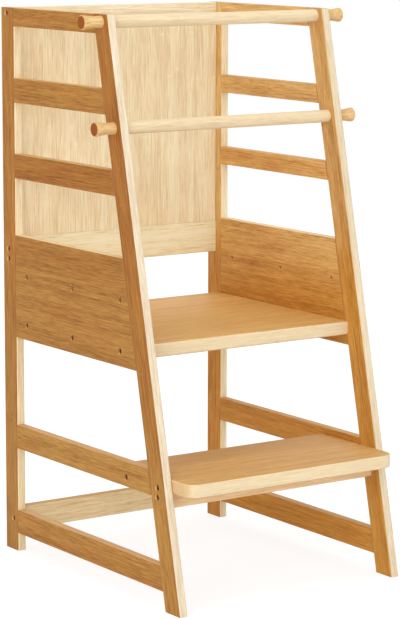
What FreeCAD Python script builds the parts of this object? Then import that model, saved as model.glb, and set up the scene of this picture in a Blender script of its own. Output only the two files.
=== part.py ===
import FreeCAD, Part
import os
import Sketcher

# Kitchen helper stool: a standing platform for a toddler between two slanted side frames.
# Millimetres. X runs across the stool, +Y to its closed back, +Z up. The origin is on the
# floor, midway across and midway between the step's front edge and the rear legs' rear faces.

SIZES = {
    # the whole stool
    "overall_height": 900,          # floor to the top of the legs
    "overall_width": 425,           # outer face to outer face of the side frames
    "foot_depth": 520,              # rear face to the front legs' front edge, on the floor
    "top_depth": 320,               # rear face to the front legs' front edge, at the top
    # side frames
    "frame_thickness": 15,
    "leg_width": 40,                # square to the leg's own length
    "leg_edge_radius": 2.5,
    "rail_edge_radius": 1.5,
    "top_rail_height": 30,
    "left_slat_height": 40,
    "right_slat_height": 30,
    "side_panel_height": 170,
    "side_panel_drop": 17,          # the panel's lower edge, below the platform's underside
    "lower_rail_height": 40,
    "lower_rail_drop": 7.5,         # its lower edge, below the step's underside
    "bottom_rail_height": 40,
    "bottom_rail_base": 30,
    # glued tenons of the rails, in blind mortises of the legs
    "tenon_thickness": 5,
    "tenon_length": 8,
    "tenon_shoulder": 5,
    "glue_gap": 0.1,
    "mortise_end_gap": 0.5,
    # platform and step
    "platform_height": 400,         # floor to the standing surface
    "platform_thickness": 22,
    "platform_front_overlap": 8,    # its front edge, in front of the leg's rear edge
    "platform_rear_inset": 28,
    "platform_bolt_margin": 45,
    "spare_row_rise": 80,           # from the bolts in use up to the spare row of holes
    "step_height": 204,
    "step_thickness": 22,
    "step_depth": 190,
    "step_lip": 50,                 # the step's front edge, in front of the leg's front edge
    "step_bolt_margin": 35,
    "step_corner_radius": 20,
    "board_edge_radius": 3,
    "apron_height": 26,
    "apron_thickness": 15,
    "apron_bolt_drop": 7.5,
    # back and rear stretcher
    "back_thickness": 15,
    "back_inset": 9.5,
    "toe_gap": 71,                  # between the platform and the back
    "back_bottom_rail_height": 54,
    "back_top_rail_height": 30,
    "back_bolt_spacing": 16,
    "back_top_bolt_drop": 9,
    "tongue_length": 8,
    "tongue_thickness": 5,
    "stretcher_height": 40,
    "stretcher_base": 33,
    "stretcher_thickness": 15,
    "stretcher_inset": 17.5,
    "batten_edge_radius": 1.5,
    # safety rods and their knobs
    "rod_diameter": 20,
    "top_rod_drop": 12,             # rod's middle, below the top of the legs
    "lower_rod_drop": 172,
    "insert_diameter": 9,
    "insert_length": 16,
    "stud_diameter": 6,
    "stud_hole_diameter": 6.6,
    "stud_in_knob": 20,
    "stud_in_rod": 15,
    "knob_length": 35,
    "knob_base_diameter": 19.5,
    "knob_rim_diameter": 22.5,
    "knob_rim_length": 4,
    "knob_rim_chamfer": 1.3,
    "knob_waist_sag": 1.3,          # how far the waist is drawn in from a straight taper
    # connector bolts and barrel nuts
    "bolt_diameter": 6,
    "bolt_length": 45,
    "bolt_hole_diameter": 6.5,
    "bolt_head_diameter": 10,
    "bolt_head_height": 4,
    "counterbore_diameter": 10.5,
    "counterbore_depth": 8,
    "socket_width": 4,
    "socket_depth": 2.5,
    "nut_diameter": 10,
    "nut_length": 12,
    "nut_inset": 34,                # nut's axis, from the end of its board
    "bolt_above_underside": 7.5,
    "thread_clearance": 0.05,
    "drill_end_gap": 1,
    # alignment dowels beside single bolts
    "dowel_diameter": 6,
    "dowel_length": 24,
    "dowel_in_leg": 8,
    "dowel_below_bolt": 13,
}

# each plane's role in a body's origin, and the sign of its normal on the world axis
PLANES = {"XY": ("XY_Plane", 1), "XZ": ("XZ_Plane", -1), "YZ": ("YZ_Plane", 1)}

# expressions for the places that several pieces share
LEAN = "((Sizes.foot_depth - Sizes.top_depth) / Sizes.overall_height)"
LEG_SPAN = f"(Sizes.leg_width * sqrt(1 + {LEAN} ^ 2))"
REAR = f"((Sizes.foot_depth - {LEAN} * Sizes.step_height + Sizes.step_lip) / 2)"
REAR_LEG_FRONT = f"({REAR} - Sizes.leg_width)"
INNER_WIDTH = "(Sizes.overall_width - 2 * Sizes.frame_thickness)"

PLATFORM_UNDER = "(Sizes.platform_height - Sizes.platform_thickness)"
STEP_UNDER = "(Sizes.step_height - Sizes.step_thickness)"
PANEL_BASE = f"({PLATFORM_UNDER} - Sizes.side_panel_drop)"
PANEL_TOP = f"({PANEL_BASE} + Sizes.side_panel_height)"
TOP_RAIL_BASE = "(Sizes.overall_height - Sizes.top_rail_height)"
# two slats of the right frame's height share out the space over the panel evenly
SLAT_PITCH = f"(({TOP_RAIL_BASE} - {PANEL_TOP} + Sizes.right_slat_height) / 3)"
MIDDLE_SLAT_BASE = f"({PANEL_TOP} + {SLAT_PITCH} - Sizes.right_slat_height)"
UPPER_SLAT_BASE = f"({MIDDLE_SLAT_BASE} + {SLAT_PITCH})"
LOWER_RAIL_BASE = f"({STEP_UNDER} - Sizes.lower_rail_drop)"

BACK_MIDDLE = f"({REAR} - Sizes.back_inset - Sizes.back_thickness / 2)"
BACK_BASE = "(Sizes.platform_height + Sizes.toe_gap)"
BACK_PANEL_BASE = f"({BACK_BASE} + Sizes.back_bottom_rail_height)"
BACK_PANEL_TOP = "(Sizes.overall_height - Sizes.back_top_rail_height)"
STRETCHER_MIDDLE = f"({REAR} - Sizes.stretcher_inset - Sizes.stretcher_thickness / 2)"
STRETCHER_BOLT_HEIGHT = "(Sizes.stretcher_base + Sizes.stretcher_height / 2)"

TOP_ROD_HEIGHT = "(Sizes.overall_height - Sizes.top_rod_drop)"
LOWER_ROD_HEIGHT = "(Sizes.overall_height - Sizes.lower_rod_drop)"

PLATFORM_REAR = f"({REAR} - Sizes.platform_rear_inset)"
PLATFORM_BOLT_HEIGHT = f"({PLATFORM_UNDER} + Sizes.bolt_above_underside)"
SPARE_ROW_HEIGHT = f"({PLATFORM_BOLT_HEIGHT} + Sizes.spare_row_rise)"
STEP_BOLT_HEIGHT = f"({STEP_UNDER} + Sizes.bolt_above_underside)"
APRON_BOLT_HEIGHT = f"({STEP_UNDER} - Sizes.apron_bolt_drop)"


def leg_front(height):
    """Y of the front leg's front edge at a height."""
    return f"({REAR} - Sizes.foot_depth + {LEAN} * ({height}))"


def leg_inner(height):
    """Y of the front leg's rear edge at a height."""
    return f"({leg_front(height)} + {LEG_SPAN})"


def leg_middle(height):
    """Y of the front leg's middle line at a height."""
    return f"({leg_front(height)} + {LEG_SPAN} / 2)"


PLATFORM_FRONT = f"({leg_inner('Sizes.platform_height')} - Sizes.platform_front_overlap)"
PLATFORM_BOLT_ROW = (
    f"({PLATFORM_FRONT} + Sizes.platform_bolt_margin)",
    f"(({PLATFORM_FRONT} + {PLATFORM_REAR}) / 2)",
    f"({PLATFORM_REAR} - Sizes.platform_bolt_margin)",
)
STEP_FRONT = f"({leg_front('Sizes.step_height')} - Sizes.step_lip)"
STEP_REAR = f"({STEP_FRONT} + Sizes.step_depth)"
STEP_RAIL_BOLT = f"({STEP_REAR} - Sizes.step_bolt_margin)"
STEP_LEG_BOLT = leg_middle(STEP_BOLT_HEIGHT)

# (Y, Z) of the bolts' axes
PLATFORM_BOLTS = [(along, PLATFORM_BOLT_HEIGHT) for along in PLATFORM_BOLT_ROW]
SPARE_HOLES = [(along, SPARE_ROW_HEIGHT) for along in PLATFORM_BOLT_ROW]
STEP_RAIL_BOLTS = [(STEP_RAIL_BOLT, STEP_BOLT_HEIGHT)]
STEP_LEG_BOLTS = [(STEP_LEG_BOLT, STEP_BOLT_HEIGHT)]
APRON_BOLTS = [(STEP_LEG_BOLT, APRON_BOLT_HEIGHT)]
BACK_RAIL_MIDDLE = f"({BACK_BASE} + Sizes.back_bottom_rail_height / 2)"
BACK_BOTTOM_BOLTS = [
    (BACK_MIDDLE, f"({BACK_RAIL_MIDDLE} - Sizes.back_bolt_spacing / 2)"),
    (BACK_MIDDLE, f"({BACK_RAIL_MIDDLE} + Sizes.back_bolt_spacing / 2)"),
]
BACK_TOP_BOLTS = [(BACK_MIDDLE, "(Sizes.overall_height - Sizes.back_top_bolt_drop)")]
STRETCHER_BOLTS = [(STRETCHER_MIDDLE, STRETCHER_BOLT_HEIGHT)]
APRON_DOWELS = [(STEP_LEG_BOLT, f"({APRON_BOLT_HEIGHT} - Sizes.dowel_below_bolt)")]
STRETCHER_DOWELS = [(STRETCHER_MIDDLE, f"({STRETCHER_BOLT_HEIGHT} - Sizes.dowel_below_bolt)")]
RODS = {
    "top": (leg_middle(TOP_ROD_HEIGHT), TOP_ROD_HEIGHT),
    "lower": (leg_middle(LOWER_ROD_HEIGHT), LOWER_ROD_HEIGHT),
}
SIDES = {"left": -1, "right": 1}
WAIST_TAPERS = 5                    # straight tapers that make up a knob's hollow waist

document = FreeCAD.newDocument("helper_stool")
sheet = document.addObject("Spreadsheet::Sheet", "Sizes")
for row, (size_name, size_value) in enumerate(SIZES.items(), start=1):
    sheet.set(f"A{row}", str(size_value))
    sheet.setAlias(f"A{row}", size_name)
document.recompute()

subparts = []


# ---------------------------------------------------------------- ways of working


def value(expression):
    """The present value of an expression, in millimetres."""
    return float(sheet.evalExpression(expression))


def add_body(name, kept=True):
    """An empty body. A kept one is a sub-part of the stool."""
    body = document.addObject("PartDesign::Body", name)
    body.Label = name
    if kept:
        subparts.append(body)
    return body


def add_sketch(body, plane, at):
    """An empty sketch square to a world axis, at a place along that axis."""
    role, sign = PLANES[plane]
    sketch = body.newObject("Sketcher::SketchObject", "outline")
    origin_plane = next(item for item in body.Origin.OriginFeatures if item.Role == role)
    sketch.AttachmentSupport = (origin_plane, [""])
    sketch.MapMode = "FlatFace"
    sketch.setExpression("AttachmentOffset.Base.z", f"{sign} * ({at})")
    return sketch


def bind(sketch, kind, *target, expression):
    """A dimension of the sketch that follows an expression."""
    constraint = Sketcher.Constraint(kind, *target, value(expression))
    index = sketch.addConstraint(constraint)
    sketch.setExpression(f"Constraints[{index}]", expression)


def draw_polygon(sketch, corners):
    """A closed polygon through corners given as pairs of expressions."""
    points = [FreeCAD.Vector(value(across), value(up), 0) for across, up in corners]
    count = len(points)
    first = sketch.GeometryCount
    for index, point in enumerate(points):
        sketch.addGeometry(Part.LineSegment(point, points[(index + 1) % count]), False)
    for index, (across, up) in enumerate(corners):
        line = first + index
        sketch.addConstraint(
            Sketcher.Constraint("Coincident", line, 2, first + (index + 1) % count, 1)
        )
        bind(sketch, "DistanceX", line, 1, expression=across)
        bind(sketch, "DistanceY", line, 1, expression=up)


def draw_rectangle(sketch, low, high):
    """A rectangle between two opposite corners."""
    corners = [(low[0], low[1]), (high[0], low[1]), (high[0], high[1]), (low[0], high[1])]
    draw_polygon(sketch, corners)


def draw_circles(sketch, centres, diameter):
    """Equal circles on centres given as pairs of expressions."""
    for across, up in centres:
        centre = FreeCAD.Vector(value(across), value(up), 0)
        shape = Part.Circle(centre, FreeCAD.Vector(0, 0, 1), value(diameter) / 2)
        circle = sketch.addGeometry(shape, False)
        bind(sketch, "DistanceX", circle, 3, expression=across)
        bind(sketch, "DistanceY", circle, 3, expression=up)
        bind(sketch, "Diameter", circle, expression=diameter)


def pad(body, sketch, thickness):
    """Material for half the thickness on each side of the sketch."""
    feature = body.newObject("PartDesign::Pad", "pad")
    feature.Profile = sketch
    feature.SideType = "Symmetric"
    feature.setExpression("Length", thickness)
    document.recompute()


def turn(body, sketch):
    """A full turn of the sketch about its own horizontal axis."""
    feature = body.newObject("PartDesign::Revolution", "turning")
    feature.Profile = sketch
    feature.ReferenceAxis = (sketch, ["H_Axis"])
    feature.Angle = 360
    document.recompute()


def must_remove(body, before, feature):
    """Stop if a cut has taken nothing away from its body."""
    document.recompute()
    if feature.Shape.Volume >= before - 0.01:
        raise RuntimeError(f"{body.Label}: {feature.Label} removes nothing")


def cut_both_ways(body, sketch, width):
    """A pocket for half the width on each side of the sketch."""
    before = body.Tip.Shape.Volume
    feature = body.newObject("PartDesign::Pocket", "slot")
    feature.Profile = sketch
    feature.SideType = "Symmetric"
    feature.setExpression("Length", width)
    must_remove(body, before, feature)


def cut(body, plane, sketch, depth, toward):
    """A pocket from the sketch, toward +1 or -1 on the world axis of its plane."""
    before = body.Tip.Shape.Volume
    feature = body.newObject("PartDesign::Pocket", "recess")
    feature.Profile = sketch
    feature.Reversed = toward == PLANES[plane][1]
    feature.setExpression("Length", depth)
    must_remove(body, before, feature)


def drill(body, plane, at, toward, centres, diameter, depth):
    """Blind round holes, toward +1 or -1 on the world axis of the plane."""
    sketch = add_sketch(body, plane, at)
    draw_circles(sketch, centres, diameter)
    cut(body, plane, sketch, depth, toward)


def drill_through_frame(body, side, centres, diameter, counterbored):
    """Holes right through a piece of a side frame, drilled from its outer face."""
    before = body.Tip.Shape.Volume
    sketch = add_sketch(body, "YZ", outer_face(side))
    draw_circles(sketch, centres, diameter)
    hole = body.newObject("PartDesign::Hole", "bolt_hole")
    hole.Profile = sketch
    document.recompute()
    hole.DepthType = "ThroughAll"
    hole.Reversed = side < 0
    hole.setExpression("Diameter", diameter)
    if counterbored:
        hole.HoleCutType = "Counterbore"
        hole.HoleCutCustomValues = True
        hole.setExpression("HoleCutDiameter", "Sizes.counterbore_diameter")
        hole.setExpression("HoleCutDepth", "Sizes.counterbore_depth")
    must_remove(body, before, hole)


def edges_where(shape, wanted):
    """Names of the edges of a shape that pass a test."""
    numbered = enumerate(shape.Edges, start=1)
    return [f"Edge{number}" for number, edge in numbered if wanted(edge)]


def runs_along(direction):
    """A test for edges that run along a direction."""
    return lambda edge: abs(edge.tangentAt(edge.FirstParameter).dot(direction)) > 0.9999


def is_level(edge):
    """A test for edges that stay at one height."""
    return edge.BoundBox.ZLength < 0.001


def round_edges(body, radius, wanted):
    """Round the edges that pass a test."""
    base = body.Tip
    feature = body.newObject("PartDesign::Fillet", "rounding")
    feature.Base = (base, edges_where(base.Shape, wanted))
    feature.setExpression("Radius", radius)
    document.recompute()


def place(item, across, along, up, rotation):
    """Set an item's rotation and tie its place to expressions."""
    item.Placement = FreeCAD.Placement(FreeCAD.Vector(0, 0, 0), rotation)
    item.setExpression("Placement.Base.x", across)
    item.setExpression("Placement.Base.y", along)
    item.setExpression("Placement.Base.z", up)


def add_group(name, source, places):
    """One sub-part of equal separate pieces: copies of a source, each placed."""
    copies = []
    for across, along, up, rotation in places:
        copy = document.addObject("App::Link", f"{name}_copy")
        copy.LinkedObject = source
        copy.LinkTransform = False
        place(copy, across, along, up, rotation)
        copies.append(copy)
    group = document.addObject("Part::Compound", name)
    group.Label = name
    group.Links = copies
    subparts.append(group)


X_AXIS = FreeCAD.Vector(1, 0, 0)
Y_AXIS = FreeCAD.Vector(0, 1, 0)
Z_AXIS = FreeCAD.Vector(0, 0, 1)
UPRIGHT = FreeCAD.Rotation(Z_AXIS, 0)
FACING = {-1: FreeCAD.Rotation(Z_AXIS, 180), 1: UPRIGHT}


def outer_face(side):
    return f"({side} * Sizes.overall_width / 2)"


def inner_face(side):
    return f"({side} * {INNER_WIDTH} / 2)"


def frame_middle(side):
    return f"({side} * (Sizes.overall_width - Sizes.frame_thickness) / 2)"


# ---------------------------------------------------------------- side frames


def frame_rails(word):
    """Name, lower edge and height of each cross rail of a side frame."""
    slat_height = f"Sizes.{word}_slat_height"
    return [
        (f"{word}_top_rail", TOP_RAIL_BASE, "Sizes.top_rail_height"),
        (f"{word}_upper_slat", UPPER_SLAT_BASE, slat_height),
        (f"{word}_middle_slat", MIDDLE_SLAT_BASE, slat_height),
        (f"{word}_side_panel", PANEL_BASE, "Sizes.side_panel_height"),
        (f"{word}_lower_rail", LOWER_RAIL_BASE, "Sizes.lower_rail_height"),
        (f"{word}_bottom_rail", "Sizes.bottom_rail_base", "Sizes.bottom_rail_height"),
    ]


def rail_outline(low, high, beyond):
    """A rail's outline between the legs, carried a distance beyond both shoulders."""
    return [
        (f"{leg_inner(low)} - {beyond}", low),
        (f"{REAR_LEG_FRONT} + {beyond}", low),
        (f"{REAR_LEG_FRONT} + {beyond}", high),
        (f"{leg_inner(high)} - {beyond}", high),
    ]


def make_rail(name, side, base, height):
    """A rail between the legs: slanted front shoulder, a stub tenon at each end."""
    body = add_body(name)
    blank = add_sketch(body, "YZ", frame_middle(side))
    draw_polygon(blank, rail_outline(base, f"({base} + {height})", "0"))
    pad(body, blank, "Sizes.frame_thickness")
    round_edges(body, "Sizes.rail_edge_radius", runs_along(Y_AXIS))
    core = add_sketch(body, "YZ", frame_middle(side))
    tenon_low = f"({base} + Sizes.tenon_shoulder)"
    tenon_high = f"({base} + {height} - Sizes.tenon_shoulder)"
    draw_polygon(core, rail_outline(tenon_low, tenon_high, "Sizes.tenon_length"))
    pad(body, core, "Sizes.tenon_thickness")
    return body


def mortise_span(base, height):
    """Lowest and highest point of the mortise for a rail."""
    low = f"({base} + Sizes.tenon_shoulder - Sizes.glue_gap)"
    high = f"({base} + {height} - Sizes.tenon_shoulder + Sizes.glue_gap)"
    return low, high


def cut_mortises(body, side, word, mouth):
    """Blind mortises for every rail. mouth gives Y of the leg's edge, and the way in."""
    slots = add_sketch(body, "YZ", frame_middle(side))
    for _, base, height in frame_rails(word):
        low, high = mortise_span(base, height)
        edge, way_in = mouth
        depth = f"{way_in} * (Sizes.tenon_length + Sizes.mortise_end_gap)"
        outside = f"{-way_in} * Sizes.tenon_length"
        corners = [
            (f"{edge(low)} + {depth}", low),
            (f"{edge(low)} + {outside}", low),
            (f"{edge(high)} + {outside}", high),
            (f"{edge(high)} + {depth}", high),
        ]
        draw_polygon(slots, corners)
    cut_both_ways(body, slots, "Sizes.tenon_thickness + 2 * Sizes.glue_gap")


def climbs(edge):
    """A test for a leg's long edges."""
    return abs(edge.tangentAt(edge.FirstParameter).z) > 0.5


def make_rear_leg(word, side):
    """The upright rear leg, bolted to the back and to the rear stretcher."""
    body = add_body(f"{word}_rear_leg")
    blank = add_sketch(body, "YZ", frame_middle(side))
    draw_rectangle(blank, (REAR_LEG_FRONT, "0"), (REAR, "Sizes.overall_height"))
    pad(body, blank, "Sizes.frame_thickness")
    round_edges(body, "Sizes.leg_edge_radius", climbs)
    cut_mortises(body, side, word, (lambda height: REAR_LEG_FRONT, 1))
    bolts = BACK_TOP_BOLTS + BACK_BOTTOM_BOLTS + STRETCHER_BOLTS
    drill_through_frame(body, side, bolts, "Sizes.bolt_hole_diameter", True)
    drill_for_dowels(body, side, STRETCHER_DOWELS)


def make_front_leg(word, side):
    """The slanted front leg, cut level at both ends. It holds both rods and the step."""
    body = add_body(f"{word}_front_leg")
    blank = add_sketch(body, "YZ", frame_middle(side))
    corners = [
        (leg_front("0"), "0"),
        (leg_inner("0"), "0"),
        (leg_inner("Sizes.overall_height"), "Sizes.overall_height"),
        (leg_front("Sizes.overall_height"), "Sizes.overall_height"),
    ]
    draw_polygon(blank, corners)
    pad(body, blank, "Sizes.frame_thickness")
    round_edges(body, "Sizes.leg_edge_radius", climbs)
    cut_mortises(body, side, word, (leg_inner, -1))
    bolts = STEP_LEG_BOLTS + APRON_BOLTS
    drill_through_frame(body, side, bolts, "Sizes.bolt_hole_diameter", True)
    drill_through_frame(body, side, list(RODS.values()), "Sizes.stud_hole_diameter", False)
    drill_for_dowels(body, side, APRON_DOWELS)


def drill_for_dowels(body, side, dowels):
    """Blind dowel holes in a leg's inner face."""
    depth = "Sizes.dowel_in_leg + Sizes.mortise_end_gap"
    diameter = "Sizes.dowel_diameter + 2 * Sizes.glue_gap"
    drill(body, "YZ", inner_face(side), side, dowels, diameter, depth)


for word, side in SIDES.items():
    make_rear_leg(word, side)
    make_front_leg(word, side)
    for rail_name, rail_base, rail_height in frame_rails(word):
        rail = make_rail(rail_name, side, rail_base, rail_height)
        if rail_name.endswith("side_panel"):
            bolts = PLATFORM_BOLTS + SPARE_HOLES
            drill_through_frame(rail, side, bolts, "Sizes.bolt_hole_diameter", True)
        if rail_name.endswith("lower_rail"):
            drill_through_frame(rail, side, STEP_RAIL_BOLTS, "Sizes.bolt_hole_diameter", True)


# ---------------------------------------------------------------- boards across the stool


def drill_for_bolts(body, bolts, nut_plane, nut_face, nut_toward, nut_depth):
    """Bolt bores in both ends of a board, each ending in the cross bore for its barrel nut."""
    bore = "Sizes.bolt_hole_diameter"
    nuts = []
    for side in SIDES.values():
        drill(body, "YZ", inner_face(side), -side, bolts, bore, "Sizes.nut_inset")
        across = f"({inner_face(side)} - {side} * Sizes.nut_inset)"
        for along, up in bolts:
            nuts.append((across, along if nut_plane == "XY" else up))
    diameter = "Sizes.nut_diameter + 2 * Sizes.glue_gap"
    drill(body, nut_plane, nut_face, nut_toward, nuts, diameter, nut_depth)


def make_floor_board(name, front, rear, under, thickness, bolts, corner_radius):
    """A level board between the side frames, with nut bores in its underside.

    Rounded front corners stand clear of the frames, so their board is rounded all round.
    """
    body = add_body(name)
    blank = add_sketch(body, "XY", f"{under} + {thickness} / 2")
    draw_rectangle(blank, (inner_face(-1), front), (inner_face(1), rear))
    pad(body, blank, thickness)
    if corner_radius:
        middle = value(f"({front} + {rear}) / 2")
        upright = runs_along(Z_AXIS)
        round_edges(body, corner_radius, lambda edge: upright(edge) and edge.CenterOfMass.y < middle)
        round_edges(body, "Sizes.board_edge_radius", is_level)
    else:
        round_edges(body, "Sizes.board_edge_radius", runs_along(X_AXIS))
    nut_depth = "Sizes.bolt_above_underside + Sizes.nut_length / 2"
    drill_for_bolts(body, bolts, "XY", under, 1, nut_depth)


def make_batten(name, middle, low, high, thickness, direction):
    """An upright board between the side frames, about its middle plane."""
    body = add_body(name)
    blank = add_sketch(body, "XZ", middle)
    draw_rectangle(blank, (inner_face(-1), low), (inner_face(1), high))
    pad(body, blank, thickness)
    round_edges(body, "Sizes.batten_edge_radius", runs_along(direction))
    return body


def drill_batten(body, middle, thickness, bolts):
    """Bolt bores in both ends of an upright board, with nut bores in its rear face."""
    rear_face = f"({middle} + {thickness} / 2)"
    nut_depth = f"({thickness} + Sizes.nut_length) / 2"
    drill_for_bolts(body, bolts, "XZ", rear_face, -1, nut_depth)


def cut_groove(body, middle, edge, into):
    """A groove along a board's edge for the back panel's tongue."""
    groove = add_sketch(body, "XZ", middle)
    far = f"({edge} + {into} * (Sizes.tongue_length + Sizes.mortise_end_gap))"
    outside = f"({edge} - {into} * Sizes.tongue_length)"
    low, high = (outside, far) if into > 0 else (far, outside)
    draw_rectangle(groove, (inner_face(-1), low), (inner_face(1), high))
    cut_both_ways(body, groove, "Sizes.tongue_thickness + 2 * Sizes.glue_gap")


make_floor_board(
    "platform",
    PLATFORM_FRONT,
    PLATFORM_REAR,
    PLATFORM_UNDER,
    "Sizes.platform_thickness",
    PLATFORM_BOLTS,
    None,
)
make_floor_board(
    "step_board",
    STEP_FRONT,
    STEP_REAR,
    STEP_UNDER,
    "Sizes.step_thickness",
    STEP_RAIL_BOLTS + STEP_LEG_BOLTS,
    "Sizes.step_corner_radius",
)

apron = make_batten(
    "step_apron",
    STEP_LEG_BOLT,
    f"({STEP_UNDER} - Sizes.apron_height)",
    STEP_UNDER,
    "Sizes.apron_thickness",
    X_AXIS,
)
drill_batten(apron, STEP_LEG_BOLT, "Sizes.apron_thickness", APRON_BOLTS)

stretcher = make_batten(
    "rear_stretcher",
    STRETCHER_MIDDLE,
    "Sizes.stretcher_base",
    "(Sizes.stretcher_base + Sizes.stretcher_height)",
    "Sizes.stretcher_thickness",
    X_AXIS,
)
drill_batten(stretcher, STRETCHER_MIDDLE, "Sizes.stretcher_thickness", STRETCHER_BOLTS)

for batten, dowels in ((apron, APRON_DOWELS), (stretcher, STRETCHER_DOWELS)):
    for side in SIDES.values():
        hole_depth = "Sizes.dowel_length - Sizes.dowel_in_leg + Sizes.mortise_end_gap"
        hole_diameter = "Sizes.dowel_diameter + 2 * Sizes.glue_gap"
        drill(batten, "YZ", inner_face(side), -side, dowels, hole_diameter, hole_depth)

back_bottom_rail = make_batten(
    "back_bottom_rail", BACK_MIDDLE, BACK_BASE, BACK_PANEL_BASE, "Sizes.back_thickness", X_AXIS
)
cut_groove(back_bottom_rail, BACK_MIDDLE, BACK_PANEL_BASE, -1)
drill_batten(back_bottom_rail, BACK_MIDDLE, "Sizes.back_thickness", BACK_BOTTOM_BOLTS)

back_top_rail = make_batten(
    "back_top_rail",
    BACK_MIDDLE,
    BACK_PANEL_TOP,
    "Sizes.overall_height",
    "Sizes.back_thickness",
    X_AXIS,
)
cut_groove(back_top_rail, BACK_MIDDLE, BACK_PANEL_TOP, 1)
drill_batten(back_top_rail, BACK_MIDDLE, "Sizes.back_thickness", BACK_TOP_BOLTS)

back_panel = make_batten(
    "back_panel", BACK_MIDDLE, BACK_PANEL_BASE, BACK_PANEL_TOP, "Sizes.back_thickness", Z_AXIS
)
tongues = add_sketch(back_panel, "XZ", BACK_MIDDLE)
draw_rectangle(
    tongues,
    (inner_face(-1), f"({BACK_PANEL_BASE} - Sizes.tongue_length)"),
    (inner_face(1), f"({BACK_PANEL_TOP} + Sizes.tongue_length)"),
)
pad(back_panel, tongues, "Sizes.tongue_thickness")


# ---------------------------------------------------------------- rods, knobs and studs


def turned(name, corners, kept):
    """A body turned about X from an outline given as (distance along X, radius) pairs."""
    body = add_body(name, kept)
    outline = add_sketch(body, "XY", "0")
    draw_polygon(outline, corners)
    turn(body, outline)
    return body


def bar(low, high, radius):
    """Half outline of a round bar along X."""
    return [(low, "0"), (high, "0"), (high, radius), (low, radius)]


def make_rod(name, along, up):
    """A round safety rod between the front legs, bored at each end for an insert nut."""
    body = add_body(name)
    section = add_sketch(body, "YZ", "0")
    draw_circles(section, [(along, up)], "Sizes.rod_diameter")
    pad(body, section, INNER_WIDTH)
    for side in SIDES.values():
        depth = "Sizes.insert_length + Sizes.drill_end_gap"
        diameter = "Sizes.insert_diameter + 2 * Sizes.glue_gap"
        drill(body, "YZ", inner_face(side), -side, [(along, up)], diameter, depth)


def make_stud(name, side, along, up):
    """A knob's threaded stud, from inside the knob through the leg into the rod."""
    low = "-(Sizes.frame_thickness + Sizes.stud_in_rod)"
    body = turned(name, bar(low, "Sizes.stud_in_knob", "Sizes.stud_diameter / 2"), True)
    place(body, outer_face(side), along, up, FACING[side])


def waist_point(share):
    """A point of the knob's side, a share of the way from its base to its rim."""
    base = "Sizes.knob_base_diameter / 2"
    growth = "(Sizes.knob_rim_diameter - Sizes.knob_base_diameter) / 2"
    sag = f"4 * Sizes.knob_waist_sag * {share} * {1 - share}"
    length = "(Sizes.knob_length - Sizes.knob_rim_length)"
    return f"{length} * {share}", f"{base} + {growth} * {share} - {sag}"


def make_knob(name, side, along, up):
    """A turned knob with a drawn-in waist and a wider rim, bored for its stud."""
    rim = "Sizes.knob_rim_diameter / 2"
    points = [
        ("0", "0"),
        ("Sizes.knob_length", "0"),
        ("Sizes.knob_length", f"{rim} - Sizes.knob_rim_chamfer"),
        ("Sizes.knob_length - Sizes.knob_rim_chamfer", rim),
    ]
    points += [waist_point((WAIST_TAPERS - step) / WAIST_TAPERS) for step in range(WAIST_TAPERS + 1)]
    body = turned(name, points, True)
    bore = "Sizes.stud_diameter + 2 * Sizes.thread_clearance"
    depth = "Sizes.stud_in_knob + Sizes.drill_end_gap"
    drill(body, "YZ", "0", 1, [("0", "0")], bore, depth)
    place(body, outer_face(side), along, up, FACING[side])


for rod_word, (rod_along, rod_up) in RODS.items():
    make_rod(f"{rod_word}_rod", rod_along, rod_up)
    for word, side in SIDES.items():
        make_knob(f"{word}_{rod_word}_knob", side, rod_along, rod_up)
        make_stud(f"{word}_{rod_word}_stud", side, rod_along, rod_up)


# ---------------------------------------------------------------- hardware


def make_insert():
    """A threaded insert nut, glued into a rod's end. Its mouth is at the origin."""
    blank = bar("-Sizes.insert_length", "0", "Sizes.insert_diameter / 2")
    body = turned("insert_nut", blank, False)
    bore = "Sizes.stud_diameter + 2 * Sizes.thread_clearance"
    drill(body, "YZ", "0", -1, [("0", "0")], bore, "Sizes.insert_length")
    return body


def make_bolt():
    """A connector bolt with a socket head. The head's seat is at the origin."""
    radius = "Sizes.bolt_diameter / 2"
    head_radius = "Sizes.bolt_head_diameter / 2"
    outline = [
        ("-Sizes.bolt_length", "0"),
        ("Sizes.bolt_head_height", "0"),
        ("Sizes.bolt_head_height", head_radius),
        ("0", head_radius),
        ("0", radius),
        ("-Sizes.bolt_length", radius),
    ]
    body = turned("connector_bolt", outline, False)
    socket = add_sketch(body, "YZ", "Sizes.bolt_head_height")
    corner = "Sizes.socket_width / sqrt(3)"
    angles = range(0, 360, 60)
    hexagon = [(f"{corner} * cos({angle})", f"{corner} * sin({angle})") for angle in angles]
    draw_polygon(socket, hexagon)
    cut(body, "YZ", socket, "Sizes.socket_depth", -1)
    return body


def make_nut():
    """A barrel nut along Z, with its thread along X."""
    body = add_body("barrel_nut", False)
    section = add_sketch(body, "XY", "0")
    draw_circles(section, [("0", "0")], "Sizes.nut_diameter")
    pad(body, section, "Sizes.nut_length")
    thread = add_sketch(body, "YZ", "0")
    draw_circles(thread, [("0", "0")], "Sizes.bolt_diameter + 2 * Sizes.thread_clearance")
    cut_both_ways(body, thread, "2 * Sizes.nut_diameter")
    return body


def make_dowel():
    """A short glued dowel along X, its outer end at the origin."""
    return turned("alignment_dowel", bar("-Sizes.dowel_length", "0", "Sizes.dowel_diameter / 2"), False)


def in_both_frames(across, centres):
    """Places on both sides of the stool, mirrored: across gives X for a side."""
    return [
        (across(side), along, up, FACING[side])
        for side in SIDES.values()
        for along, up in centres
    ]


def bolt_seat(side):
    return f"({side} * (Sizes.overall_width / 2 - Sizes.counterbore_depth))"


def dowel_end(side):
    return f"({inner_face(side)} + {side} * Sizes.dowel_in_leg)"


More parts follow.
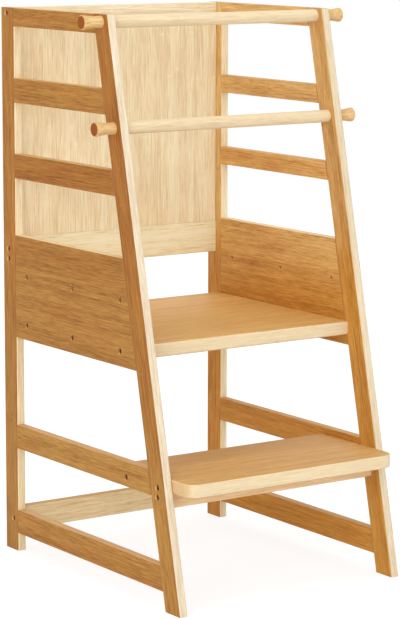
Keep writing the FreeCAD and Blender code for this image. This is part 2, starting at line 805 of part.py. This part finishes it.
def nut_places(bolts, rotation):
    """The crossing points of bolts and nuts, with the nuts turned to their bores."""
    return [
        (f"({inner_face(side)} - {side} * Sizes.nut_inset)", along, up, rotation)
        for side in SIDES.values()
        for along, up in bolts
    ]


insert = make_insert()
bolt = make_bolt()
nut = make_nut()
dowel = make_dowel()
FROM_BEHIND = FreeCAD.Rotation(X_AXIS, 90)

add_group("rod_insert_nuts", insert, in_both_frames(inner_face, RODS.values()))
for group_word, group_bolts, nut_rotation in (
    ("platform", PLATFORM_BOLTS, UPRIGHT),
    ("step", STEP_RAIL_BOLTS + STEP_LEG_BOLTS, UPRIGHT),
    ("apron", APRON_BOLTS, FROM_BEHIND),
    ("back", BACK_BOTTOM_BOLTS + BACK_TOP_BOLTS, FROM_BEHIND),
    ("stretcher", STRETCHER_BOLTS, FROM_BEHIND),
):
    add_group(f"{group_word}_bolts", bolt, in_both_frames(bolt_seat, group_bolts))
    add_group(f"{group_word}_barrel_nuts", nut, nut_places(group_bolts, nut_rotation))
add_group("apron_dowels", dowel, in_both_frames(dowel_end, APRON_DOWELS))
add_group("stretcher_dowels", dowel, in_both_frames(dowel_end, STRETCHER_DOWELS))


# ---------------------------------------------------------------- checks and output

document.recompute()
for item in document.Objects:
    if "Invalid" in item.State or "Error" in item.State:
        raise RuntimeError(f"{item.Label} failed: {item.State}")
for subpart in subparts:
    if subpart.Shape.isNull() or not subpart.Shape.isValid():
        raise RuntimeError(f"{subpart.Label} has no sound shape")

os.makedirs("parts", exist_ok=True)
for subpart in subparts:
    subpart.Shape.exportStep(f"parts/{subpart.Label}.step")
print(f"{len(subparts)} sub-parts written")
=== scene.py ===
import itertools
import math

import bpy
from mathutils import Matrix, Vector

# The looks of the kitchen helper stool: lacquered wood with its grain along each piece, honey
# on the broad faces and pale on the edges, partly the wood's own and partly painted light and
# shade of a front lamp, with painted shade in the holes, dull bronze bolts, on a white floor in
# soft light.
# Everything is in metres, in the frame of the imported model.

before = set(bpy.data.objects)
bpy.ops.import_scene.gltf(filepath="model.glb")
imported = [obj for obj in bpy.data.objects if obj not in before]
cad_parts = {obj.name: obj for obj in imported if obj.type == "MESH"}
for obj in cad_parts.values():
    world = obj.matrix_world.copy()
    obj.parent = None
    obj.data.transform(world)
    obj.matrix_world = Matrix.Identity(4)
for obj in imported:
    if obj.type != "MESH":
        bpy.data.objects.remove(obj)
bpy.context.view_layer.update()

# ---------------------------------------------------------------- the real stool's measures

LEAN = 200 / 900                                # the front legs' run back per unit of height
LEG_GRAIN = Vector((0, LEAN, 1)).normalized()   # along a front leg, from floor to top
ALONG_X = Vector((1, 0, 0))
ALONG_Y = Vector((0, 1, 0))
ALONG_Z = Vector((0, 0, 1))

STRIP_WIDTH = 0.0075            # the bamboo strips that the boards are glued up from
PLY = 0.0075                    # the layers that are seen on an edge
NODE_SPACING = 0.26             # between the cane's nodes along a strip
NODE_LENGTH = 0.003
NODE_STAGGER = 7.0              # spacings that the strips' nodes are scattered over
NODELESS = 0.45                 # share of the strips on which no node shows
NODE_LIGHTNESS = 0.28
SEAM_WIDTH = 0.0007             # of the dark line where two boards are joined
HOLE_MARGIN = (0.003, 0.004)    # a wall further in than this from a piece's rim is a hole's
HOLE_SHADE = (0.0022, 0.004)    # the depths in a hole's wall between which its painted shade sets in
DRIFT_HEIGHTS = (0.4, 0.57)     # between these the frames' tone goes from low to high
FOOT_FADE = 0.15                # the height over which a piece's lower look sets in
# a face counts as broad, or as end grain, as its normal's share in that direction goes up;
# where a rounded edge turns past the broad share it takes the pale edge tone, a painted
# highlight line
BROAD_SHARE = (0.62, 0.82)
END_SHARE = (0.6, 0.97)

# the wood's figure: repeats per metre along and across the grain, and share in the pattern
BANDS, BANDS_SHARE = (4, 48, 48), 0.45
STREAKS, STREAKS_SHARE = (15, 380, 380), 1.0
FLECKS, FLECKS_SHARE = (40, 820, 820), 1.0
FIBRES, FIBRES_SHARE = (70, 1700, 1700), 0.4
STRIPS_SHARE = 0.14
FIGURE_REACH = 0.42             # of the pattern's value, to each side of its middle
BLOTCHES = (7, 34, 34)
PORES = (400, 700, 700)
MOTTLE = (900, 900, 900)
# how far each piece's pattern is moved from the last one's: along, across and into the face
SHIFT_ALONG, SHIFT_ACROSS, SHIFT_INTO = 0.731, 0.0577, 0.0311
# roughness of wood without gloss, on its smooth and its rough streaks
WOOD_ROUGHNESS = (0.56, 0.66)
# strength and depth of the relief
GRAIN_BUMP = (0.14, 0.0004)
METAL_BUMP = (0.05, 0.0002)


def srgb(red, green, blue):
    """A linear colour with full alpha from 0-255 screen values."""

    def linear(channel):
        share = channel / 255
        return share / 12.92 if share <= 0.04045 else ((share + 0.055) / 1.055) ** 2.4
    return (linear(red), linear(green), linear(blue), 1.0)


# middle tone of each finish
FRAME_OUTER_HIGH = srgb(177, 120, 52)   # the frames' outer faces, at the top
FRAME_OUTER_LOW = srgb(180, 126, 57)    # and near the floor
FRAME_INNER_LIT_HIGH = srgb(223, 177, 110)  # their inner faces: painted bounce light makes them lighter than the outer faces, the most at the top
FRAME_INNER_LIT_LOW = srgb(200, 138, 57)
# the pale edge tones: partly the wood's paler edges, partly painted light of the front lamp
FRONT_LEG_PALE_LIT_EDGE = {"left": srgb(228, 212, 183), "right": srgb(220, 201, 167)}
REAR_LEG_PALE_LIT_EDGE = srgb(245, 225, 184)     # the rear legs' front and rear faces, painted lighter still to offset their shade
PANEL_PALE_LIT_EDGE = srgb(240, 210, 162)        # top and bottom of the side panels
RAIL_EDGE = srgb(212, 168, 110)
HOLE = srgb(255, 216, 146)              # raw wood at the rim of the frames' holes, painted very light to stand in for light on the wall
HOLE_PAINTED_SHADE = srgb(120, 66, 26)           # painted shade further in the holes
BOARD_TOP = srgb(212, 166, 98)
# the boards' pale edges: partly the wood's own, partly painted light of the front lamp
BOARD_PALE_LIT_EDGE = srgb(230, 209, 170)
BACK = srgb(240, 222, 182)
BACK_REAR = srgb(240, 215, 174)
BACK_TOP = srgb(232, 213, 176)
# the back's bottom rail and the stretcher: pale wood painted lighter still, painted light that
# offsets the shade falling on them
BACK_FOOT_LIT = srgb(252, 240, 200)
STRETCHER_LIT = srgb(255, 227, 180)
APRON = srgb(244, 210, 162)
ROD = srgb(229, 208, 170)
KNOB = srgb(219, 181, 122)
END = srgb(204, 156, 100)               # end grain
BOARD_END = srgb(224, 188, 138)
KNOB_END = srgb(150, 80, 14)
STAIN = srgb(176, 102, 42)              # the warm blotches
METAL_BRONZE = srgb(150, 92, 44)
METAL_ZINC = srgb(190, 190, 186)
METAL_BRASS = srgb(206, 168, 98)

# how light and how warm a piece is beside its neighbours
BOARD_LOOK = {
    "left_rear_leg": (0.98, 0.02), "left_front_leg": (0.9, 0.22),
    "left_upper_slat": (1.0, -0.07), "left_middle_slat": (0.88, 0.24),
    "left_side_panel": (0.95, 0.0), "left_lower_rail": (1.01, -0.12),
    "right_rear_leg": (1.07, -0.16), "right_front_leg": (0.86, 0.1),
    "right_upper_slat": (0.93, 0.0), "right_middle_slat": (0.99, 0.12),
    "right_side_panel": (1.01, -0.1), "right_bottom_rail": (1.05, -0.06),
    "back_panel": (0.95, 0.06), "step_board": (0.94, 0.06),
}
# the same for a piece's lower part, and the height that it starts below
FOOT_LOOK = {
    "left_rear_leg": (0.89, 0.1, 0.55), "left_front_leg": (1.04, -0.08, 0.3),
    "right_rear_leg": (1.0, 0.08, 0.55), "right_front_leg": (1.03, -0.18, 0.6),
    "back_panel": (1.02, -0.01, 0.8),
}
PLAIN_LOOK = (1.0, 0.0)

# how much of red, green and blue the dark shade loses and the light one gains
FALLS = (0.34, 0.48, 0.6)
RISES = (0.26, 0.4, 0.7)
MIDDLE_LIMIT = 0.93             # no middle shade reflects more than this
LIGHT_LIMIT = 0.95


def shades(tone, depth, light=1.0, warm=0.0):
    """Dark, middle and light shade of a tone: the dark ones are the more saturated."""
    factors = (light, light * (1 - warm / 2), light * (1 - warm))
    middle = [min(MIDDLE_LIMIT, channel * factor) for channel, factor in zip(tone, factors)]
    dark = [channel * (1 - fall * depth) for channel, fall in zip(middle, FALLS)]
    bright = [
        min(LIGHT_LIMIT, channel * (1 + rise * depth)) for channel, rise in zip(middle, RISES)
    ]
    return (*dark, 1.0), (*middle, 1.0), (*bright, 1.0)


# ---------------------------------------------------------------- shader building blocks


class Shader:
    """A material's node tree, with short calls for the nodes used here."""

    def __init__(self, name):
        self.material = bpy.data.materials.new(name)
        self.material.use_nodes = True
        self.tree = self.material.node_tree
        self.surface = self.tree.nodes["Principled BSDF"]

    def node(self, kind, **settings):
        made = self.tree.nodes.new(kind)
        for key, setting in settings.items():
            setattr(made, key, setting)
        return made

    def feed(self, socket, source):
        """Link a socket to another, or set it to a plain value."""
        if isinstance(source, bpy.types.NodeSocket):
            self.tree.links.new(source, socket)
        else:
            socket.default_value = source

    def math(self, operation, first, second=0.0, third=0.0):
        made = self.node("ShaderNodeMath", operation=operation)
        for socket, source in zip(made.inputs, (first, second, third)):
            self.feed(socket, source)
        return made.outputs[0]

    def dot(self, vector, direction):
        made = self.node("ShaderNodeVectorMath", operation="DOT_PRODUCT")
        self.feed(made.inputs[0], vector)
        self.feed(made.inputs[1], direction)
        return made.outputs["Value"]

    def combine(self, x, y, z):
        made = self.node("ShaderNodeCombineXYZ")
        for socket, source in zip(made.inputs, (x, y, z)):
            self.feed(socket, source)
        return made.outputs[0]

    def stretch(self, vector, scales):
        made = self.node("ShaderNodeVectorMath", operation="MULTIPLY")
        self.feed(made.inputs[0], vector)
        self.feed(made.inputs[1], scales)
        return made.outputs[0]

    def noise(self, vector, detail=3.0, roughness=0.55):
        made = self.node("ShaderNodeTexNoise")
        self.feed(made.inputs["Vector"], vector)
        self.feed(made.inputs["Scale"], 1.0)
        self.feed(made.inputs["Detail"], detail)
        self.feed(made.inputs["Roughness"], roughness)
        return made.outputs[0]

    def random(self, number):
        """A value from 0 to 1 that is fixed for each whole number."""
        made = self.node("ShaderNodeTexWhiteNoise", noise_dimensions="1D")
        self.feed(made.inputs["W"], number)
        return made.outputs["Value"]

    def spread(self, number, low, high, to_low=0.0, to_high=1.0, smooth=True):
        """Bring a number from the range low-high to to_low-to_high, and keep it there."""
        made = self.node("ShaderNodeMapRange")
        made.interpolation_type = "SMOOTHSTEP" if smooth else "LINEAR"
        for socket, source in zip(made.inputs, (number, low, high, to_low, to_high)):
            self.feed(socket, source)
        return made.outputs[0]

    def margin(self, number, ends):
        """The distance to the nearer of two ends."""
        lowest, highest = ends
        from_lowest = self.math("SUBTRACT", number, lowest)
        from_highest = self.math("SUBTRACT", highest, number)
        return self.math("MINIMUM", from_lowest, from_highest)

    def ramp(self, number, tones):
        """A colour from evenly spaced tones, for a number from 0 to 1."""
        made = self.node("ShaderNodeValToRGB")
        self.feed(made.inputs[0], number)
        stops = made.color_ramp.elements
        while len(stops) < len(tones):
            stops.new(0.5)
        for index, tone in enumerate(tones):
            stops[index].position = index / (len(tones) - 1)
            stops[index].color = tone
        return made.outputs[0]

    def mix(self, share, first, second):
        made = self.node("ShaderNodeMix", data_type="RGBA")
        self.feed(made.inputs["Factor"], share)
        self.feed(made.inputs[6], first)
        self.feed(made.inputs[7], second)
        return made.outputs[2]

    def bump(self, height, strength, distance):
        made = self.node("ShaderNodeBump")
        self.feed(made.inputs["Strength"], strength)
        self.feed(made.inputs["Distance"], distance)
        self.feed(made.inputs["Height"], height)
        self.feed(self.surface.inputs["Normal"], made.outputs[0])


def wood_figure(shader, place, strip_tone):
    """The grain's pattern from 0 to 1, and its streaks and fine fibres by themselves."""
    bands = shader.noise(shader.stretch(place, BANDS), 3.0)
    streaks = shader.noise(shader.stretch(place, STREAKS), 4.0, 0.62)
    flecks = shader.noise(shader.stretch(place, FLECKS), 3.0, 0.6)
    fibres = shader.noise(shader.stretch(place, FIBRES), 2.0)
    layers = (
        (bands, BANDS_SHARE), (streaks, STREAKS_SHARE), (flecks, FLECKS_SHARE),
        (fibres, FIBRES_SHARE), (strip_tone, STRIPS_SHARE),
    )
    total = 0.0
    for layer, share in layers:
        total = shader.math("MULTIPLY_ADD", layer, share, total)
    middle = sum(share for _, share in layers) / 2
    figure = shader.spread(total, middle - FIGURE_REACH, middle + FIGURE_REACH, smooth=False)
    return figure, streaks, shader.math("ADD", flecks, fibres)


def wood(name, grain, broad, broad_tones, edge_tone, seed, look=PLAIN_LOOK, foot=None,
         depth=1.0, blotches=0.3, staves=None, width=None, faces=None, end_tone=END, gloss=0.15):
    """Lacquered wood with streaks, glued strips, the cane's nodes, warm blotches and end grain.

    broad is the way that the piece's broad faces look. broad_tones are the tones of the face
    on that side and of the one behind it, each as (near the floor, at the top). seed makes
    its pattern unlike another piece's. look is how light and how warm the piece is, and foot
    is the same for its lower part, with the height that this starts below. depth is the
    figure's contrast, and blotches the most that a stain covers. staves is the width of the
    boards that a wide piece is joined from. width is the piece's lowest and highest reach
    across its broad faces, and faces are those faces' own places along broad: both are for
    the raw wood that shows in its holes, painted very light at the rim and with painted shade
    further in.
    """
    shader = Shader(name)
    coordinates = shader.node("ShaderNodeTexCoord")
    normal, position = coordinates.outputs["Normal"], coordinates.outputs["Object"]
    sideways = broad.cross(grain).normalized()
    along, across, into = (
        shader.math("ADD", shader.dot(position, direction), seed * shift)
        for direction, shift in
        ((grain, SHIFT_ALONG), (sideways, SHIFT_ACROSS), (broad, SHIFT_INTO))
    )
    place = shader.combine(along, across, into)

    outward = shader.dot(normal, broad)
    is_broad = shader.spread(shader.math("ABSOLUTE", outward), *BROAD_SHARE)
    is_outer = shader.math("GREATER_THAN", outward, 0.0)
    is_end = shader.spread(shader.math("ABSOLUTE", shader.dot(normal, grain)), *END_SHARE)

    # glued strips: each has its own tone and its own nodes
    on_broad = shader.math("MULTIPLY", shader.math("DIVIDE", across, STRIP_WIDTH), is_broad)
    on_edge = shader.math(
        "MULTIPLY", shader.math("DIVIDE", into, PLY), shader.math("SUBTRACT", 1.0, is_broad)
    )
    strip_tone = shader.random(shader.math("FLOOR", shader.math("ADD", on_broad, on_edge)))
    figure, streaks, grain_relief = wood_figure(shader, place, strip_tone)

    # colour drifts along the height, and differs between the two broad sides; on the frames the
    # lighter inner faces, lightest at the top, are painted bounce light
    height = shader.dot(position, ALONG_Z)
    drift = shader.spread(height, *DRIFT_HEIGHTS)
    sides = []
    for low, high in broad_tones:
        ramps = [shader.ramp(figure, shades(tone, depth, *look)) for tone in (low, high)]
        side_colour = shader.mix(drift, *ramps)
        if foot:
            light, warm, below = foot
            at_foot = shader.spread(height, below, below - FOOT_FADE)
            foot_colour = shader.ramp(figure, shades(low, depth, light, warm))
            side_colour = shader.mix(at_foot, side_colour, foot_colour)
        sides.append(side_colour)
    broad_colour = shader.mix(is_outer, sides[1], sides[0])

    edge_colour = shader.ramp(figure, shades(edge_tone, 0.45 * depth))
    # a hole's wall: raw wood, painted very light at the rim as painted light, and painted shade
    # further in
    if width:
        from_rim = shader.margin(shader.math("SUBTRACT", across, seed * SHIFT_ACROSS), width)
        from_face = shader.margin(shader.dot(position, broad), faces)
        in_hole = shader.spread(from_rim, *HOLE_MARGIN)
        hole_wall_and_shade = shader.mix(shader.spread(from_face, *HOLE_SHADE), HOLE, HOLE_PAINTED_SHADE)
        edge_colour = shader.mix(in_hole, edge_colour, hole_wall_and_shade)
    # pale edges against honey broad faces: partly the wood's own, partly painted light and shade
    # of the front lamp
    colour = shader.mix(is_broad, edge_colour, broad_colour)

    stain = shader.noise(shader.stretch(place, BLOTCHES), 4.0, 0.6)
    stain = shader.spread(stain, 0.5, 0.74, 0.0, blotches)
    stain = shader.math("MULTIPLY", stain, shader.math("MULTIPLY_ADD", is_broad, 0.75, 0.25))
    colour = shader.mix(stain, colour, STAIN)

    if staves:
        joint = shader.math("FRACT", shader.math("DIVIDE", across, staves))
        joint = shader.math("ABSOLUTE", shader.math("SUBTRACT", joint, 0.5))
        seam = shader.spread(joint, 0.5 * SEAM_WIDTH / staves, 0.0)
        seam = shader.math("MULTIPLY", shader.math("MULTIPLY", seam, is_broad), 0.5)
        colour = shader.mix(seam, colour, shades(broad_tones[0][0], 1.4)[0])

    # nodes of the cane: a short light tick across a strip
    spacings = shader.math("DIVIDE", along, NODE_SPACING)
    step = shader.math("MULTIPLY_ADD", strip_tone, NODE_STAGGER, spacings)
    gap = shader.math("ABSOLUTE", shader.math("SUBTRACT", shader.math("FRACT", step), 0.5))
    half_tick = NODE_LENGTH / NODE_SPACING
    tick = shader.math("MULTIPLY", shader.spread(gap, half_tick, 0.3 * half_tick), is_broad)
    tick = shader.math("MULTIPLY", tick, shader.math("GREATER_THAN", strip_tone, NODELESS))
    light_tone = shades(broad_tones[0][1], 1.0)[2]
    colour = shader.mix(shader.math("MULTIPLY", tick, NODE_LIGHTNESS), colour, light_tone)

    pores = shader.noise(shader.stretch(place, PORES), 2.0)
    colour = shader.mix(is_end, colour, shader.ramp(pores, shades(end_tone, 1.0)))

    surface = shader.surface
    shader.feed(surface.inputs["Base Color"], colour)
    smoothest, roughest = (plain - 0.5 * gloss for plain in WOOD_ROUGHNESS)
    roughness = shader.spread(streaks, 0.3, 0.7, smoothest, roughest, smooth=False)
    shader.feed(surface.inputs["Roughness"], roughness)
    surface.inputs["Specular IOR Level"].default_value = gloss
    shader.bump(grain_relief, *GRAIN_BUMP)
    return shader.material


def metal(name, tone, roughness):
    """Plated steel or brass with a faint mottle."""
    shader = Shader(name)
    place = shader.node("ShaderNodeTexCoord").outputs["Object"]
    mottle = shader.noise(shader.stretch(place, MOTTLE), 3.0)
    dark = (*(channel * 0.7 for channel in tone[:3]), 1.0)
    shader.feed(shader.surface.inputs["Base Color"], shader.ramp(mottle, (dark, tone)))
    worn = shader.spread(mottle, 0.3, 0.7, roughness - 0.08, roughness + 0.1, smooth=False)
    shader.feed(shader.surface.inputs["Roughness"], worn)
    shader.surface.inputs["Metallic"].default_value = 1.0
    shader.bump(mottle, *METAL_BUMP)
    return shader.material


def finish(node, material):
    """Give a CAD node its material."""
    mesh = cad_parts[node].data
    mesh.materials.clear()
    mesh.materials.append(material)


# ---------------------------------------------------------------- finishes of the sub-parts

seeds = itertools.count(1)


def extent(node, direction):
    """A node's lowest and highest place along a direction."""
    places = [direction.dot(vertex.co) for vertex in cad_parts[node].data.vertices]
    return min(places), max(places)


def finish_wood(node, grain, broad, broad_tones, edge_tone, **settings):
    """Give a node its own wood, unlike any other piece's."""
    settings["look"] = BOARD_LOOK.get(node, PLAIN_LOOK)
    settings["foot"] = FOOT_LOOK.get(node)
    if broad in (ALONG_X, -ALONG_X):
        settings["width"] = extent(node, broad.cross(grain).normalized())
        settings["faces"] = extent(node, broad)
    name = f"wood_{node}"
    finish(node, wood(name, grain, broad, broad_tones, edge_tone, next(seeds), **settings))


def even(tone, behind=None):
    """One tone at every height, with the side that broad points to as given in behind."""
    outer = behind or tone
    return ((outer, outer), (tone, tone))


FRAME = ((FRAME_OUTER_LOW, FRAME_OUTER_HIGH), (FRAME_INNER_LIT_LOW, FRAME_INNER_LIT_HIGH))
RAILS = ("top_rail", "upper_slat", "middle_slat", "lower_rail", "bottom_rail")
PANEL_STAVES = 0.062
BOARD_STAVES = 0.094
BACK_STAVES = 0.08
for side, outward, rail_depth in (("left", -ALONG_X, 1.5), ("right", ALONG_X, 1.2)):
    for piece in RAILS:
        finish_wood(f"{side}_{piece}", ALONG_Y, outward, FRAME, RAIL_EDGE, depth=rail_depth)
    finish_wood(
        f"{side}_side_panel", ALONG_Y, outward, FRAME, PANEL_PALE_LIT_EDGE,
        depth=1.4, staves=PANEL_STAVES,
    )
    legs = (("rear", ALONG_Z, REAR_LEG_PALE_LIT_EDGE), ("front", LEG_GRAIN, FRONT_LEG_PALE_LIT_EDGE[side]))
    for end, grain, edge in legs:
        finish_wood(f"{side}_{end}_leg", grain, outward, FRAME, edge, depth=1.5, blotches=0.4)

for board in ("platform", "step_board"):
    finish_wood(
        board, ALONG_X, ALONG_Z, even(BOARD_TOP), BOARD_PALE_LIT_EDGE,
        depth=0.8, blotches=0.1, staves=BOARD_STAVES, end_tone=BOARD_END, gloss=0.2,
    )
finish_wood("step_apron", ALONG_X, ALONG_Y, even(APRON), BOARD_TOP, depth=0.6, blotches=0.1)
finish_wood(
    "rear_stretcher", ALONG_X, ALONG_Y, even(STRETCHER_LIT, behind=BACK_REAR), BOARD_TOP,
    depth=0.8, blotches=0.06,
)
for rail, tone in (("back_bottom_rail", BACK_FOOT_LIT), ("back_top_rail", BACK_TOP)):
    finish_wood(
        rail, ALONG_X, ALONG_Y, even(tone, behind=BACK_REAR), tone, depth=0.7, blotches=0.05
    )
finish_wood(
    "back_panel", ALONG_Z, ALONG_Y, even(BACK, behind=BACK_REAR), BACK,
    depth=0.65, blotches=0.15, staves=BACK_STAVES,
)
for rod in ("top", "lower"):
    finish_wood(f"{rod}_rod", ALONG_X, ALONG_Y, even(ROD), ROD, depth=0.5, blotches=0.06)
    for side in ("left", "right"):
        finish_wood(
            f"{side}_{rod}_knob", ALONG_X, ALONG_Y, even(KNOB), KNOB,
            depth=1.2, blotches=0.25, end_tone=KNOB_END,
        )
for dowels in ("apron_dowels", "stretcher_dowels"):
    finish_wood(dowels, ALONG_X, ALONG_Y, even(BOARD_TOP), BOARD_TOP)

bronze = metal("bronze_plated_steel", METAL_BRONZE, 0.42)
steel = metal("zinc_plated_steel", METAL_ZINC, 0.36)
brass = metal("brass", METAL_BRASS, 0.34)
for group in ("platform", "step", "apron", "back", "stretcher"):
    finish(f"{group}_bolts", bronze)
    finish(f"{group}_barrel_nuts", steel)
for side in ("left", "right"):
    for rod in ("top", "lower"):
        finish(f"{side}_{rod}_stud", steel)
finish("rod_insert_nuts", brass)


# ---------------------------------------------------------------- floor, light and camera

FLOOR_SIZE = 80.0
FLOOR_BELOW = 0.0005            # so that no foot's underside lies in the floor
FLOOR_WHITE = (0.9, 0.9, 0.9, 1)    # as it lights the stool
FLOOR_SEEN = (0.3, 0.3, 0.3, 1)     # as it is seen: this part takes the shadow
FLOOR_GLOW = 0.79                   # and this part stays, so that the floor is seen as white
WORLD_LIGHT = 0.72
MIDDLE = (0.0, 0.0, 0.45)           # of the stool, where the lights are aimed

# name, place, diameter, watts
LIGHTS = (
    ("front_light", (0.0, -4.2, 1.8), 2.2, 38),
    ("left_light", (-3.6, -2.2, 1.9), 2.0, 42),
    ("top_light", (-0.3, -0.4, 4.0), 2.2, 32),
    ("back_light", (0.9, 4.2, 2.0), 2.2, 26),
)

# the photograph's view, from a camera fitted to the stool's corners
CAMERA_PLACE = (-2.2723, -3.2938, 1.0746)
CAMERA_YAW = math.radians(34.609)   # to the right of +Y
CAMERA_PITCH = math.radians(-9.309)
CAMERA_ROLL = math.radians(0.13)
CAMERA_LENS = 145.9                 # millimetres, for a frame 36 mm high
FRAME_HEIGHT = 36.0
CAMERA_REACH = 100.0


def seen_directly(tree):
    """1 for camera, mirror and glass rays, 0 for the rays that light the object."""
    path = tree.nodes.new("ShaderNodeLightPath")
    total = None
    for output in ("Is Camera Ray", "Is Glossy Ray", "Is Transmission Ray"):
        if total is None:
            total = path.outputs[output]
            continue
        joined = tree.nodes.new("ShaderNodeMath")
        joined.operation = "MAXIMUM"
        tree.links.new(total, joined.inputs[0])
        tree.links.new(path.outputs[output], joined.inputs[1])
        total = joined.outputs[0]
    return total


def make_floor():
    """A white floor that keeps the stool's soft shadow."""
    half = FLOOR_SIZE / 2
    mesh = bpy.data.meshes.new("floor")
    corners = [(-half, -half), (half, -half), (half, half), (-half, half)]
    mesh.from_pydata([(x, y, -FLOOR_BELOW) for x, y in corners], [], [(0, 1, 2, 3)])
    floor = bpy.data.objects.new("floor", mesh)
    bpy.context.scene.collection.objects.link(floor)
    material = bpy.data.materials.new("white_floor")
    material.use_nodes = True
    tree = material.node_tree
    tree.nodes.clear()
    output = tree.nodes.new("ShaderNodeOutputMaterial")
    paper = tree.nodes.new("ShaderNodeBsdfDiffuse")
    paper.inputs["Color"].default_value = FLOOR_WHITE
    shaded = tree.nodes.new("ShaderNodeBsdfDiffuse")
    shaded.inputs["Color"].default_value = FLOOR_SEEN
    glow = tree.nodes.new("ShaderNodeEmission")
    glow.inputs["Strength"].default_value = FLOOR_GLOW
    both = tree.nodes.new("ShaderNodeAddShader")
    tree.links.new(shaded.outputs[0], both.inputs[0])
    tree.links.new(glow.outputs[0], both.inputs[1])
    choice = tree.nodes.new("ShaderNodeMixShader")
    tree.links.new(seen_directly(tree), choice.inputs[0])
    tree.links.new(paper.outputs[0], choice.inputs[1])
    tree.links.new(both.outputs[0], choice.inputs[2])
    tree.links.new(choice.outputs[0], output.inputs["Surface"])
    mesh.materials.append(material)


def make_world():
    """Even light from all round, seen as plain white."""
    world = bpy.data.worlds.new("studio")
    bpy.context.scene.world = world
    world.use_nodes = True
    tree = world.node_tree
    background = tree.nodes["Background"]
    background.inputs["Color"].default_value = (1, 1, 1, 1)
    strength = tree.nodes.new("ShaderNodeMapRange")
    tree.links.new(seen_directly(tree), strength.inputs["Value"])
    strength.inputs["To Min"].default_value = WORLD_LIGHT
    strength.inputs["To Max"].default_value = 1.0
    tree.links.new(strength.outputs[0], background.inputs["Strength"])


def make_light(name, place, diameter, power):
    """A round soft lamp that looks at the middle of the stool."""
    lamp = bpy.data.lights.new(name, "AREA")
    lamp.shape = "DISK"
    lamp.size = diameter
    lamp.energy = power
    item = bpy.data.objects.new(name, lamp)
    bpy.context.scene.collection.objects.link(item)
    item.location = place
    item.rotation_euler = (Vector(MIDDLE) - Vector(place)).to_track_quat("-Z", "Y").to_euler()


def make_camera():
    """The photograph's view."""
    lens = bpy.data.cameras.new("camera")
    lens.sensor_fit = "VERTICAL"
    lens.sensor_height = FRAME_HEIGHT
    lens.lens = CAMERA_LENS
    lens.clip_end = CAMERA_REACH
    camera = bpy.data.objects.new("camera", lens)
    bpy.context.scene.collection.objects.link(camera)
    turned = (
        Matrix.Rotation(-CAMERA_YAW, 4, "Z")
        @ Matrix.Rotation(math.pi / 2 + CAMERA_PITCH, 4, "X")
        @ Matrix.Rotation(CAMERA_ROLL, 4, "Z")
    )
    camera.matrix_world = Matrix.Translation(CAMERA_PLACE) @ turned
    bpy.context.scene.camera = camera


make_floor()
make_world()
for light in LIGHTS:
    make_light(*light)
make_camera()
bpy.context.scene.view_settings.view_transform = "Standard"
